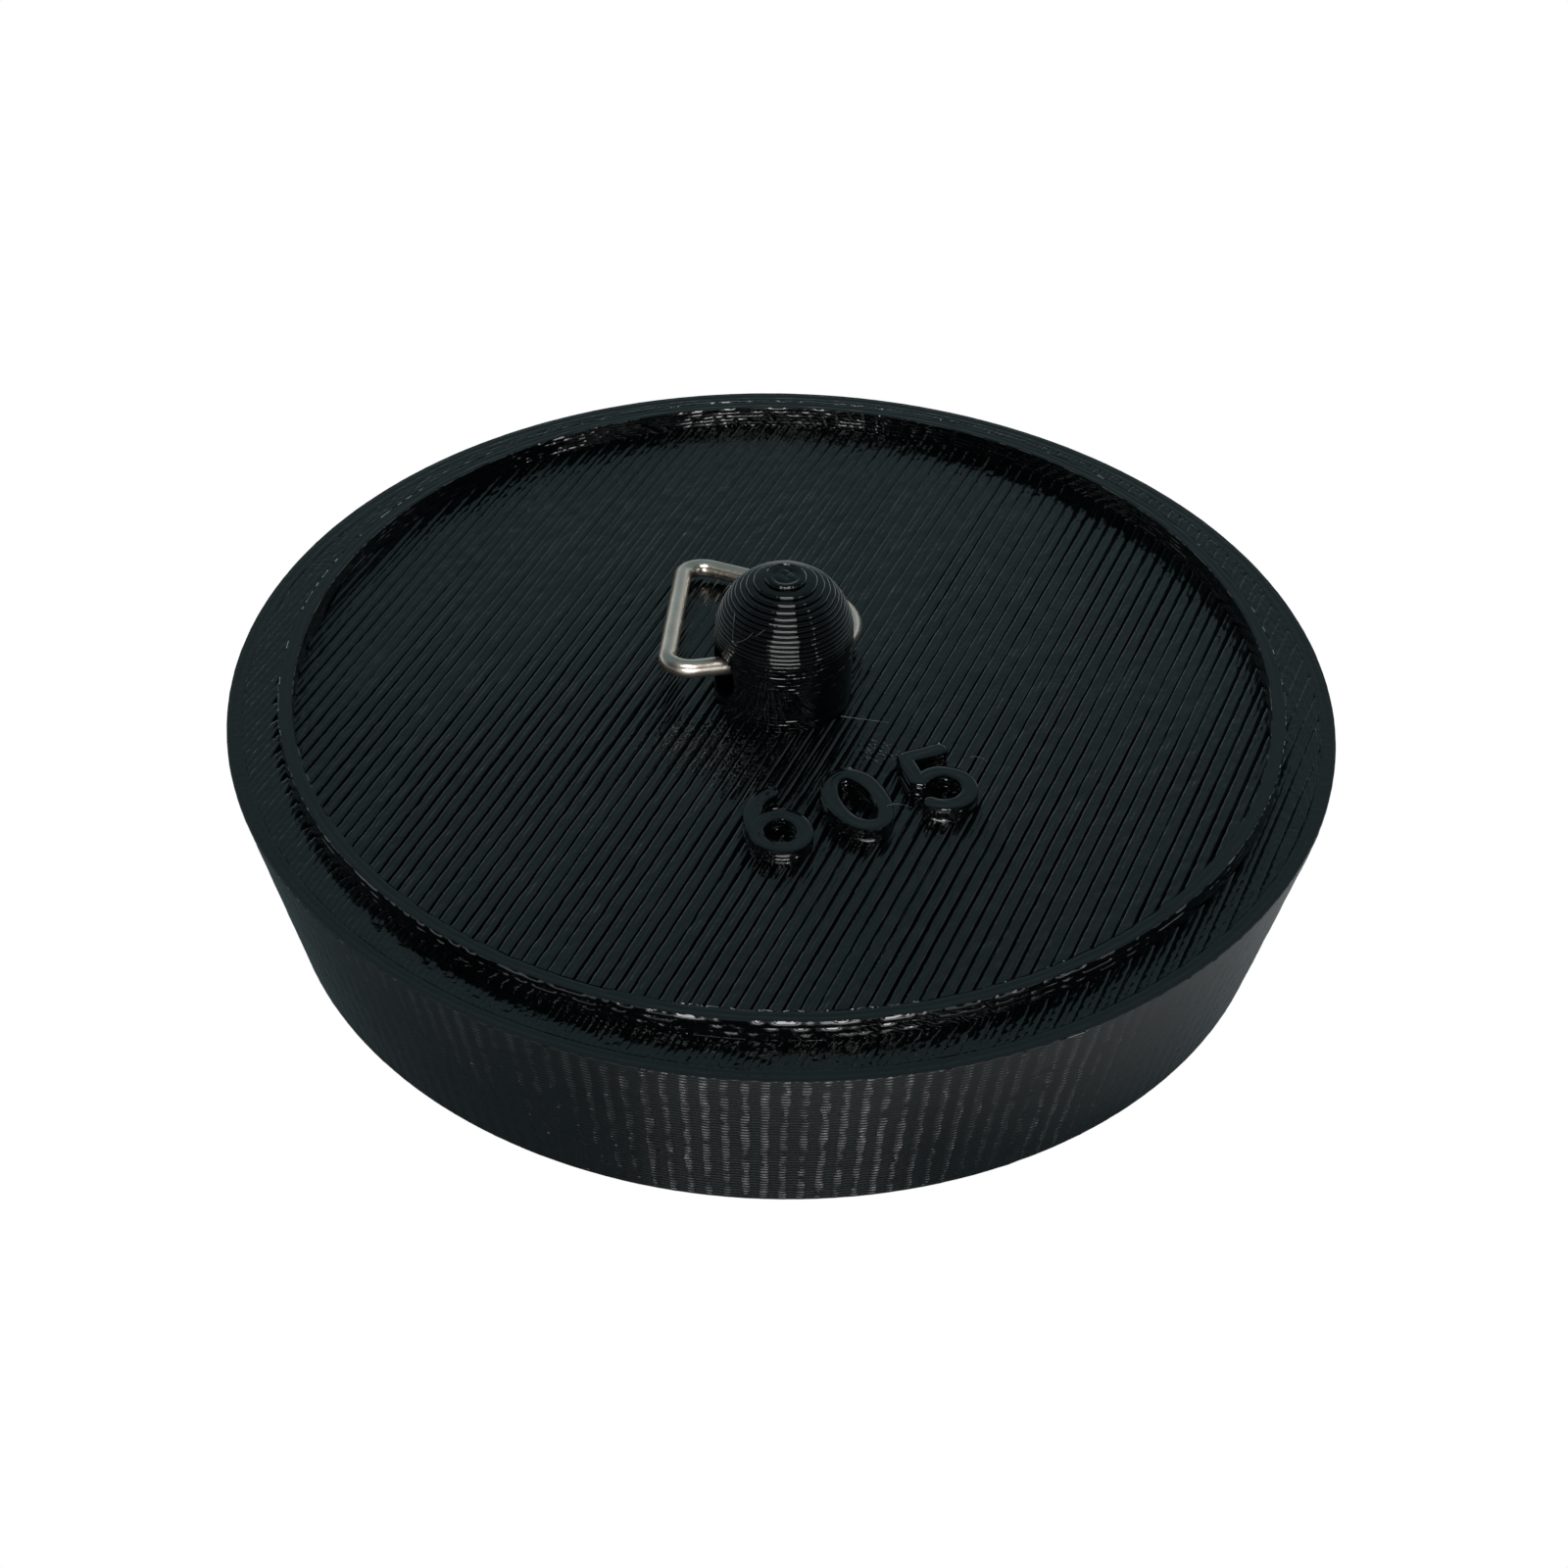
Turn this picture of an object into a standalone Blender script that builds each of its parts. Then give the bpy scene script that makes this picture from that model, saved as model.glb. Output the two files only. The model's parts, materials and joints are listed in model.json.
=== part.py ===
# Printed tapered stopper with a pull post and a wire ring that swings in the post's cross hole.
# Metres, +Z up. The origin is the centre of the underside, and the cross hole runs along X.

import math

import bmesh
import bpy
from mathutils import Euler, Matrix, Vector

# Plug: a shallow tapered disc, widest at its deck
TOP_DIAMETER = 0.0603                # across the deck's edge
PLUG_HEIGHT = 0.01085                # underside to deck
TAPER_ANGLE = math.radians(13.3)     # side wall from upright
PLUG_FACETS = 192                    # flats round the outline

# Ridge standing on the deck
RIDGE_INSET = 0.00278                # deck's edge to the ridge's outer wall
RIDGE_WIDTH = 0.0009
RIDGE_HEIGHT = 0.0012

# Pull post, a cylinder with a domed end
POST_DIAMETER = 0.00754
POST_STRAIGHT = 0.0040               # deck to the start of the dome
POST_FACETS = 72
DOME_RINGS = 12
HOLE_HEIGHT = 0.00228                # deck to the cross hole's axis
HOLE_FACETS = 40

# Wire ring, D-shaped, lying back on the deck with its crown through the cross hole
WIRE_DIAMETER = 0.0010
RING_WIDTH = 0.01227                 # length of the straight side, between wire centres
RING_DEPTH = 0.0099                  # straight side to crown, between wire centres
RING_CORNER = 0.0012                 # bend radius at the ends of the straight side
RING_CROWN = 0.0043                  # bend radius of the crown, between the two arms
RING_TURN = math.radians(63.30)      # straight side from the hole's axis, in the ring's plane
RING_SLIDE = 0.00132                 # where the wire's lowest stretch sits along the hole
RING_ROLL = math.radians(5.00)       # sideways tilt of the ring where it lies
WIRE_CLEARANCE = 0.00031             # wire to the wall of the cross hole
REST_GAP = 0.0002                    # wire to deck where the ring lies

# Raised size mark in front of the post
MARK_DIGITS = "605"
MARK_DISTANCE = 0.0110               # post's axis to the middle of the digits
MARK_SHIFT = -0.00045                # sideways, towards the first digit
DIGIT_WIDTH = 0.0034
DIGIT_HEIGHT = 0.0053
DIGIT_SPACING = 0.0047
DIGIT_RISE = 0.00096
STROKE_WIDTH = 0.0009

SINK = 0.0004                        # depth of a raised feature's root inside the plug
MERGE_DISTANCE = 0.00001
CORNER_STEPS = 5                     # segments in each corner of the ring
CROWN_STEPS = 36                     # segments in the ring's crown
ARM_STEPS = 12                       # segments in each of the ring's arms
END_STEPS = 8                        # segments in a stroke's round end

# Worked out from the sizes above
DECK_RADIUS = TOP_DIAMETER / 2
FOOT_RADIUS = DECK_RADIUS - PLUG_HEIGHT * math.tan(TAPER_ANGLE)
RIDGE_OUTER = DECK_RADIUS - RIDGE_INSET
RIDGE_INNER = RIDGE_OUTER - RIDGE_WIDTH
POST_RADIUS = POST_DIAMETER / 2
WIRE_RADIUS = WIRE_DIAMETER / 2
HOLE_AXIS_Z = PLUG_HEIGHT + HOLE_HEIGHT


def clear_scene():
    for obj in list(bpy.data.objects):
        bpy.data.objects.remove(obj, do_unlink=True)


def new_collection(name):
    collection = bpy.data.collections.new(name)
    bpy.context.scene.collection.children.link(collection)
    return collection


def new_material(name, colour, roughness, metallic):
    material = bpy.data.materials.new(name)
    material.use_nodes = True
    shader = material.node_tree.nodes["Principled BSDF"]
    shader.inputs["Base Color"].default_value = (*colour, 1.0)
    shader.inputs["Roughness"].default_value = roughness
    shader.inputs["Metallic"].default_value = metallic
    return material


def move_to(obj, collection):
    for other in list(obj.users_collection):
        other.objects.unlink(obj)
    collection.objects.link(obj)


def mark_as_cutter(obj):
    obj.hide_render = True
    obj.display_type = "WIRE"


def arc_points(centre, radii, start, end, count):
    """Points along an elliptical arc, angles in degrees, both ends included."""
    points = []
    for i in range(count + 1):
        angle = math.radians(start + (end - start) * i / count)
        points.append(Vector((centre[0] + radii[0] * math.cos(angle),
                              centre[1] + radii[1] * math.sin(angle))))
    return points


def straight_points(start, end, count):
    """Points that divide a straight line into equal parts, both ends left out."""
    return [start.lerp(end, i / count) for i in range(1, count)]


def turned_object(name, profile, steps, collection):
    """Turn a profile of (radius, height) points about Z. It runs down the outer side."""
    mesh = bpy.data.meshes.new(name)
    points = [(radius, 0.0, height) for radius, height in profile]
    mesh.from_pydata(points, [(i, i + 1) for i in range(len(points) - 1)], [])
    obj = bpy.data.objects.new(name, mesh)
    collection.objects.link(obj)
    screw = obj.modifiers.new("Turn", "SCREW")
    screw.axis = "Z"
    screw.steps = steps
    screw.render_steps = steps
    screw.use_merge_vertices = True
    screw.merge_threshold = MERGE_DISTANCE
    return obj


def curve_to_mesh(curve_obj, collection):
    """Replace a curve object by a welded mesh object of the same name and place."""
    bpy.context.view_layer.update()
    depsgraph = bpy.context.evaluated_depsgraph_get()
    mesh = bpy.data.meshes.new_from_object(curve_obj.evaluated_get(depsgraph))
    weld(mesh)
    name = curve_obj.name
    matrix = curve_obj.matrix_world.copy()
    bpy.data.objects.remove(curve_obj, do_unlink=True)
    obj = bpy.data.objects.new(name, mesh)
    obj.matrix_world = matrix
    collection.objects.link(obj)
    return obj


def weld(mesh):
    work = bmesh.new()
    work.from_mesh(mesh)
    bmesh.ops.remove_doubles(work, verts=work.verts, dist=MERGE_DISTANCE)
    work.to_mesh(mesh)
    work.free()


def build_plug(collection):
    deck = PLUG_HEIGHT
    profile = [
        (0.0, deck),
        (RIDGE_INNER, deck),
        (RIDGE_INNER, deck + RIDGE_HEIGHT),
        (RIDGE_OUTER, deck + RIDGE_HEIGHT),
        (RIDGE_OUTER, deck),
        (DECK_RADIUS, deck),
        (FOOT_RADIUS, 0.0),
        (0.0, 0.0),
    ]
    return turned_object("stopper_body", profile, PLUG_FACETS, collection)


def build_post(collection):
    dome = arc_points((0.0, POST_STRAIGHT), (POST_RADIUS, POST_RADIUS), 90, 0, DOME_RINGS)
    profile = [(0.0, POST_STRAIGHT + POST_RADIUS)]
    profile += [(point.x, point.y) for point in dome[1:]]
    profile += [(POST_RADIUS, -SINK), (0.0, -SINK)]
    post = turned_object("post", profile, POST_FACETS, collection)
    post.location.z = PLUG_HEIGHT
    mark_as_cutter(post)
    return post


def ring_path():
    """Centreline of the ring in its own plane: X along the hole, Y away from the post.

    A straight side, two small corners and two straight arms that meet the round crown, turned
    by RING_TURN. The stretch nearest -Y is the one in the hole, and the path is shifted so
    that this stretch lies evenly either side of the hole's axis.
    """
    across, along = RING_WIDTH / 2 - RING_CORNER, RING_DEPTH - RING_CROWN - RING_CORNER
    facing = math.atan2(along, -across)
    facing -= math.acos((RING_CORNER - RING_CROWN) / math.hypot(across, along))
    facing = math.degrees(facing)
    bend, crown = (RING_CORNER, RING_CORNER), (RING_CROWN, RING_CROWN)
    near = arc_points((across, RING_CORNER), bend, -90, facing, CORNER_STEPS)
    top = arc_points((0.0, RING_DEPTH - RING_CROWN), crown, facing, 180 - facing, CROWN_STEPS)
    far = arc_points((-across, RING_CORNER), bend, 180 - facing, 270, CORNER_STEPS)
    path = near + straight_points(near[-1], top[0], ARM_STEPS)
    path += top + straight_points(top[-1], far[0], ARM_STEPS) + far
    turn = Matrix.Rotation(RING_TURN, 2)
    path = [turn @ Vector((point.x, -point.y)) for point in path]
    lowest = min(path, key=lambda point: point.y)
    path = [point - lowest + Vector((RING_SLIDE, 0.0)) for point in path]
    rise = max(point.y for point in stretch_in_post(path))
    return [Vector((point.x, point.y - rise / 2, 0.0)) for point in path]


def stretch_in_post(path):
    """The points of the centreline that lie inside the post's width, on the hole's side."""
    return [point for point in path if abs(point.x) <= POST_RADIUS and point.y < RING_DEPTH / 2]


def ring_rest_rotation(path):
    """Rolled sideways by RING_ROLL, and leaned back until the wire is REST_GAP off the deck."""
    drop = HOLE_HEIGHT - WIRE_RADIUS - REST_GAP
    slopes = []
    for point in path:
        if point.y > POST_RADIUS:
            slopes.append((point.x * math.sin(RING_ROLL) - drop) / (point.y * math.cos(RING_ROLL)))
    return Euler((math.asin(max(slopes)), RING_ROLL, 0.0))


def hole_radius(path, rotation):
    """The wire's furthest reach from the hole's axis inside the post, and the clearance."""
    placed = [rotation.to_matrix() @ point for point in stretch_in_post(path)]
    reach = max(math.hypot(point.y, point.z) for point in placed)
    return reach + WIRE_RADIUS + WIRE_CLEARANCE


def build_ring(path, rotation, collection):
    curve = bpy.data.curves.new("pull_ring", "CURVE")
    curve.dimensions = "3D"
    curve.bevel_depth = WIRE_RADIUS
    curve.bevel_resolution = 3
    curve.use_fill_caps = True
    spline = curve.splines.new("POLY")
    spline.points.add(len(path) - 1)
    for knot, point in zip(spline.points, path):
        knot.co = (*point, 1.0)
    spline.use_cyclic_u = True
    ring = bpy.data.objects.new("pull_ring", curve)
    ring.location = (0.0, 0.0, HOLE_AXIS_Z)
    ring.rotation_euler = rotation
    collection.objects.link(ring)
    return ring


def build_hole_cutter(radius, collection):
    mesh = bpy.data.meshes.new("cross_hole")
    work = bmesh.new()
    bmesh.ops.create_cone(work, cap_ends=True, segments=HOLE_FACETS, radius1=radius,
                          radius2=radius, depth=POST_DIAMETER * 2)
    work.to_mesh(mesh)
    work.free()
    cutter = bpy.data.objects.new("cross_hole", mesh)
    cutter.location = (0.0, 0.0, HOLE_AXIS_Z)
    cutter.rotation_euler = (0.0, math.pi / 2, 0.0)
    collection.objects.link(cutter)
    mark_as_cutter(cutter)
    return cutter


def digit_strokes(digit):
    """Centrelines of a digit's strokes, each (points, closed), about the digit's middle."""
    half_width = (DIGIT_WIDTH - STROKE_WIDTH) / 2
    half_height = (DIGIT_HEIGHT - STROKE_WIDTH) / 2
    if digit == "0":
        return [(arc_points((0, 0), (half_width, half_height), 0, 360, 32)[:-1], True)]
    if digit == "6":
        loop_height = half_height * 0.6
        loop_centre = (0, loop_height - half_height)
        loop = arc_points(loop_centre, (half_width, loop_height), 0, 360, 28)[:-1]
        tail_reach = (half_width * 1.7, half_height - loop_centre[1])
        tail_centre = (tail_reach[0] - half_width, loop_centre[1])
        tail = arc_points(tail_centre, tail_reach, 180, 95, 10)
        return [(loop, True), (tail, False)]
    if digit == "5":
        left = -half_width * 0.8
        bar = [Vector((left, half_height)), Vector((half_width * 0.85, half_height))]
        stem = [Vector((left, half_height)), Vector((-half_width * 0.9, half_height * 0.1))]
        bowl_height = half_height * 0.62
        bowl_centre = (-half_width * 0.1, bowl_height - half_height)
        bowl = arc_points(bowl_centre, (half_width * 1.1, bowl_height), 138, -142, 22)
        return [(bar, False), (stem, False), (bowl, False)]
    raise ValueError("no strokes for digit " + digit)


def side_points(path, closed, offset):
    """The path's points moved sideways by offset, to the left of its direction."""
    moved = []
    last = len(path) - 1
    for i, point in enumerate(path):
        before = path[i - 1] if closed or i > 0 else point
        after = path[(i + 1) % len(path)] if closed or i < last else point
        along = (after - before).normalized()
        moved.append(point + Vector((-along.y, along.x)) * offset)
    return moved


def stroke_outlines(path, closed):
    """Outlines of a stroke of STROKE_WIDTH: two rings, or one outline with round ends."""
    half = STROKE_WIDTH / 2
    left = side_points(path, closed, half)
    right = side_points(path, closed, -half)
    if closed:
        return [left, right]
    far_end = round_end(path[-1], left[-1], half)
    near_end = round_end(path[0], right[0], half)
    return [left + far_end + right[::-1] + near_end]


def round_end(centre, first, radius):
    """Half a turn clockwise about centre from the point first, its two ends left out."""
    start = math.degrees(math.atan2(first.y - centre.y, first.x - centre.x))
    return arc_points(centre, (radius, radius), start, start - 180, END_STEPS)[1:-1]


def build_stroke(name, path, closed, place, collection):
    curve = bpy.data.curves.new(name, "CURVE")
    curve.dimensions = "2D"
    curve.fill_mode = "BOTH"
    curve.extrude = (DIGIT_RISE + SINK) / 2
    for outline in stroke_outlines(path, closed):
        spline = curve.splines.new("POLY")
        spline.points.add(len(outline) - 1)
        for knot, point in zip(spline.points, outline):
            knot.co = (point.x, point.y, 0.0, 1.0)
        spline.use_cyclic_u = True
    obj = bpy.data.objects.new(name, curve)
    obj.location = place
    collection.objects.link(obj)
    solid = curve_to_mesh(obj, collection)
    mark_as_cutter(solid)
    return solid


def build_mark(collection):
    """The raised digits, read from the -Y side, as one stroke solid after another."""
    strokes = []
    middle = (len(MARK_DIGITS) - 1) / 2
    for i, digit in enumerate(MARK_DIGITS):
        x = MARK_SHIFT + (i - middle) * DIGIT_SPACING
        place = (x, -MARK_DISTANCE, PLUG_HEIGHT + (DIGIT_RISE - SINK) / 2)
        for j, (path, closed) in enumerate(digit_strokes(digit)):
            strokes.append(build_stroke(f"digit_{i}_stroke_{j}", path, closed, place, collection))
    return strokes


def add_boolean(obj, operand, operation):
    boolean = obj.modifiers.new(operand.name, "BOOLEAN")
    boolean.operation = operation
    boolean.solver = "EXACT"
    boolean.object = operand


def main():
    clear_scene()
    part = new_collection("tapered_stopper")
    cutters = new_collection("cutters")

    path = ring_path()
    rotation = ring_rest_rotation(path)
    ring = build_ring(path, rotation, part)
    ring.data.materials.append(new_material("ring_wire", (0.55, 0.53, 0.50), 0.28, 1.0))

    body = build_plug(part)
    for raised in [build_post(cutters)] + build_mark(cutters):
        add_boolean(body, raised, "UNION")
    add_boolean(body, build_hole_cutter(hole_radius(path, rotation), cutters), "DIFFERENCE")
    body.data.materials.append(new_material("printed_plastic", (0.012, 0.014, 0.016), 0.3, 0.0))


main()
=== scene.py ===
# Looks of the printed tapered stopper: layered plastic body, raised size mark and wire pull ring.
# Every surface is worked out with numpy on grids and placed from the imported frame, in metres.
import json

import bmesh
import bpy
import numpy as np
from mathutils import Euler, Matrix, Vector


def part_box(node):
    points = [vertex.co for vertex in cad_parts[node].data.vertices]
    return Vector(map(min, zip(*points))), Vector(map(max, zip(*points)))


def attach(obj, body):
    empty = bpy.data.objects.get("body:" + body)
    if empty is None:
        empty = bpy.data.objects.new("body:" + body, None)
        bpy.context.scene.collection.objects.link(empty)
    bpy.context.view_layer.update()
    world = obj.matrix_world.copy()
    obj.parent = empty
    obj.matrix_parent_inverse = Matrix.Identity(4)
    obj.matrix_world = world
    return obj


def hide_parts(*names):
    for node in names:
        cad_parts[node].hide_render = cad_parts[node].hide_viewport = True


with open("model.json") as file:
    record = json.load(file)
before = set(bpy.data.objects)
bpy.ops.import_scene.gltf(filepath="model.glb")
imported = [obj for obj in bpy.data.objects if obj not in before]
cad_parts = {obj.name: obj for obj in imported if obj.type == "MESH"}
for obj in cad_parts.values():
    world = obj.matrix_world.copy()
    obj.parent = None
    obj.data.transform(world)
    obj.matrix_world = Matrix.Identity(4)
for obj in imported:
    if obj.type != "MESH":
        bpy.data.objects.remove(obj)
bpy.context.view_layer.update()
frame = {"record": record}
mm = 0.001

mounts = {mount["name"]: mount for mount in frame["record"]["mounts"]}
highCorner = Vector(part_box("stopper_body")[1])
deckZ = mounts["deck_shoulder"]["pos_m"][2]
deckRadius = highCorner.x
topZ = highCorner.z
hinge = Vector(frame["record"]["behaviour"]["joints"][0]["pos_m"])

# what the printer laid down
printer = {
    "layers": 45,               # from underside to deck
    "line": 0.365 * mm,         # spacing of neighbouring lines on the deck
    "bead": 0.45 * mm,          # width of one line in a wall
    "facets": 192,              # flats round every turned outline
    "rasterAngle": 45.0,        # direction of the deck's lines from +X, in degrees
    "edgeShape": 2.5,           # power of the curve that rounds a line off towards its edges
    "sag": 0.03 * mm,           # how far a round-edged line stays inside its nominal wall
}
layer = deckZ / printer["layers"]
touching = 0.0001 * mm          # points closer than this are one point


def beadEdge(t):
    # how far a round-edged line has dropped across its width: nothing in the middle at t = 0.5,
    # and one at both its edges
    return np.abs(2 * t - 1) ** printer["edgeShape"]


def smoothNoise(shape, widths, seed):
    # white noise, blurred along each axis by a wrapped Gaussian that many samples wide,
    # and scaled to a standard deviation of one
    noise = np.random.default_rng(seed).normal(size=shape)
    for axis, width in enumerate(widths):
        gain = np.exp(-2 * (np.pi * np.fft.fftfreq(shape[axis]) * width) ** 2)
        gain = gain.reshape([-1 if i == axis else 1 for i in range(len(shape))])
        noise = np.fft.ifft(np.fft.fft(noise, axis=axis) * gain, axis=axis).real
    return noise / noise.std()


def gridPart(points, wrapRows=False, wrapCols=True, flip=False):
    # quads between neighbouring samples; rows going up and columns going counterclockwise
    # give faces that point outwards
    rows, cols = points.shape[:2]
    r = np.arange(rows if wrapRows else rows - 1)[:, None]
    c = np.arange(cols if wrapCols else cols - 1)[None, :]
    nextRow, nextCol = (r + 1) % rows, (c + 1) % cols
    here, above = r * cols, nextRow * cols
    quads = np.stack([here + c, here + nextCol, above + nextCol, above + c], -1).reshape(-1, 4)
    return points.reshape(-1, 3), quads[:, ::-1] if flip else quads, np.zeros((0, 3), int)


def capPart(ring, flip=False):
    # a fan of triangles from a closed ring of points to the ring's middle
    count = len(ring)
    around = np.arange(count)
    fan = np.stack([around, (around + 1) % count, np.full(count, count)], -1)
    points = np.concatenate([ring, ring.mean(axis=0)[None, :]])
    return points, np.zeros((0, 4), int), fan[:, ::-1] if flip else fan


def tubePart(path, radius, sides=12, closed=False):
    # a circle of that radius carried along the path, square to it and never twisting
    ahead = np.roll(path, -1, axis=0) - np.roll(path, 1, axis=0)
    if not closed:
        ahead[0], ahead[-1] = path[1] - path[0], path[-1] - path[-2]
    ahead /= np.linalg.norm(ahead, axis=1)[:, None]
    flat = np.linalg.svd(path - path.mean(axis=0))[2][2]
    side = np.cross(flat[None, :], ahead)
    side /= np.linalg.norm(side, axis=1)[:, None]
    up = np.cross(ahead, side)
    turn = np.linspace(0, 2 * np.pi, sides, endpoint=False)[None, :, None]
    radius = np.broadcast_to(radius, len(path))[:, None, None]
    circle = side[:, None, :] * np.cos(turn) + up[:, None, :] * np.sin(turn)
    points = path[:, None, :] + circle * radius
    parts = [gridPart(points, wrapRows=closed)]
    if not closed:
        parts += [capPart(points[0], flip=True), capPart(points[-1])]
    return parts


def buildPiece(name, parts, material, body, weld=0.0, sharpAngle=0.0):
    # joins grids, fans and tubes into one smooth mesh object at the origin, merges points closer
    # than the weld, and keeps an edge sharp where its faces meet at more than the sharp angle
    points, quads, fans, count = [], [], [], 0
    for partPoints, partQuads, partFans in parts:
        points.append(partPoints)
        quads.append(partQuads + count)
        fans.append(partFans + count)
        count += len(partPoints)
    points = np.concatenate(points).astype(np.float32)
    quads, fans = np.concatenate(quads), np.concatenate(fans)
    mesh = bpy.data.meshes.new(name)
    mesh.vertices.add(len(points))
    mesh.vertices.foreach_set("co", points.ravel())
    mesh.loops.add(quads.size + fans.size)
    corners = np.concatenate([quads.ravel(), fans.ravel()])
    mesh.loops.foreach_set("vertex_index", corners.astype(np.int32))
    mesh.polygons.add(len(quads) + len(fans))
    starts = np.concatenate([np.arange(len(quads)) * 4, quads.size + np.arange(len(fans)) * 3])
    mesh.polygons.foreach_set("loop_start", starts.astype(np.int32))
    mesh.update(calc_edges=True)
    if weld:
        work = bmesh.new()
        work.from_mesh(mesh)
        bmesh.ops.remove_doubles(work, verts=work.verts, dist=weld)
        work.to_mesh(mesh)
        work.free()
    mesh.shade_smooth()
    if sharpAngle:
        mesh.set_sharp_from_angle(angle=sharpAngle)
    mesh.materials.append(material)
    piece = bpy.data.objects.new(name, mesh)
    bpy.context.scene.collection.objects.link(piece)
    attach(piece, body)
    print("built", name, "with", len(mesh.polygons), "faces")
    return piece


def turned(radius, height, angles):
    # a point at each radius and height, carried round Z by each angle
    radius, height, angles = np.broadcast_arrays(radius, height, angles)
    return np.stack([radius * np.cos(angles), radius * np.sin(angles), height], -1)


def newMaterial(name):
    # a new material with its nodes, links and shader
    material = bpy.data.materials.new(name)
    material.use_nodes = True
    nodes, links = material.node_tree.nodes, material.node_tree.links
    return material, nodes, links, nodes["Principled BSDF"]


def objectNoise(nodes, links, scale, detail=2.0, stretch=(1, 1, 1), turn=0.0):
    # noise on object coordinates, turned about Z and stretched, at so many cells per metre
    coords = nodes.new("ShaderNodeTexCoord")
    mapping = nodes.new("ShaderNodeMapping")
    mapping.inputs["Rotation"].default_value = (0, 0, turn)
    mapping.inputs["Scale"].default_value = stretch
    noise = nodes.new("ShaderNodeTexNoise")
    noise.inputs["Scale"].default_value = scale
    noise.inputs["Detail"].default_value = detail
    links.new(coords.outputs["Object"], mapping.inputs["Vector"])
    links.new(mapping.outputs["Vector"], noise.inputs["Vector"])
    return noise.outputs["Fac"]


def spread(nodes, links, value, low, high, fromLow=0.3, fromHigh=0.7):
    # the value's middle range stretched to run from low to high
    remap = nodes.new("ShaderNodeMapRange")
    remap.inputs["From Min"].default_value = fromLow
    remap.inputs["From Max"].default_value = fromHigh
    remap.inputs["To Min"].default_value = low
    remap.inputs["To Max"].default_value = high
    links.new(value, remap.inputs["Value"])
    return remap.outputs["Result"]


def tinted(nodes, links, value, first, second, socket):
    # a colour that runs from first to second as the value goes from 0 to 1
    tint = nodes.new("ShaderNodeMix")
    tint.data_type = "RGBA"
    tint.inputs[6].default_value = first
    tint.inputs[7].default_value = second
    links.new(value, tint.inputs[0])
    links.new(tint.outputs[2], socket)


def addBump(nodes, links, value, strength, distance, shader):
    # the value read as a height of up to that distance
    bump = nodes.new("ShaderNodeBump")
    bump.inputs["Strength"].default_value = strength
    bump.inputs["Distance"].default_value = distance
    links.new(value, bump.inputs["Height"])
    links.new(bump.outputs["Normal"], shader.inputs["Normal"])


plastic = {
    "dark": (0.0003, 0.0006, 0.0007, 1),
    "light": (0.0007, 0.0012, 0.0014, 1),
    "roughness": (0.07, 0.13),
    "cloud": 240,               # cells per metre of the slow change of tone
    "grain": 2600,              # cells per metre of the fine surface grain
    "grainDepth": 0.010 * mm,
}


def printedPlastic(name, stretch=(1, 1, 1), turn=0.0, grainDepth=1.0, roughen=0.0, ior=1.5):
    # near-black glossy plastic: a slow cloud of tone, and a fine grain in its gloss and surface
    material, nodes, links, shader = newMaterial(name)
    cloud = spread(nodes, links, objectNoise(nodes, links, plastic["cloud"], 3.0), 0, 1)
    tinted(nodes, links, cloud, plastic["dark"], plastic["light"], shader.inputs["Base Color"])
    grain = objectNoise(nodes, links, plastic["grain"], 2.0, stretch, turn)
    low, high = plastic["roughness"]
    gloss = spread(nodes, links, grain, low + roughen, high + roughen)
    links.new(gloss, shader.inputs["Roughness"])
    addBump(nodes, links, grain, 0.6, plastic["grainDepth"] * grainDepth, shader)
    shader.inputs["IOR"].default_value = ior
    return material


def dropletPatches(material, patches, scale, depth):
    # small droplets on top of the grain, in round patches that fade out from 0.3 of their reach
    nodes, links = material.node_tree.nodes, material.node_tree.links
    shader = nodes["Principled BSDF"]
    coords = nodes.new("ShaderNodeTexCoord")
    total = None
    for x, y, reach in patches:
        away = nodes.new("ShaderNodeVectorMath")
        away.operation = "DISTANCE"
        away.inputs[1].default_value = (x * mm, y * mm, deckZ)
        links.new(coords.outputs["Object"], away.inputs[0])
        near = spread(nodes, links, away.outputs["Value"], 1, 0, 0.3 * reach * mm, reach * mm)
        if total:
            most = nodes.new("ShaderNodeMath")
            most.operation = "MAXIMUM"
            links.new(total, most.inputs[0])
            links.new(near, most.inputs[1])
            near = most.outputs["Value"]
        total = near
    cells = nodes.new("ShaderNodeTexVoronoi")
    cells.inputs["Scale"].default_value = scale
    links.new(coords.outputs["Object"], cells.inputs["Vector"])
    drops = spread(nodes, links, cells.outputs["Distance"], 1, 0, 0.05, 0.55)
    height = nodes.new("ShaderNodeMath")
    height.operation = "MULTIPLY"
    links.new(drops, height.inputs[0])
    links.new(total, height.inputs[1])
    grainBump = shader.inputs["Normal"].links[0].from_node
    bump = nodes.new("ShaderNodeBump")
    bump.inputs["Distance"].default_value = depth
    links.new(height.outputs["Value"], bump.inputs["Height"])
    links.new(bump.outputs["Normal"], grainBump.inputs["Normal"])


plating = {
    "dark": (0.44, 0.40, 0.345, 1),
    "light": (0.53, 0.485, 0.42, 1),
    "roughness": (0.27, 0.35),
    "cloud": 900,               # cells per metre of the slow change of tone
    "scratches": 5200,          # and of the fine wear
    "scratchDepth": 0.003 * mm,
}


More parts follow.
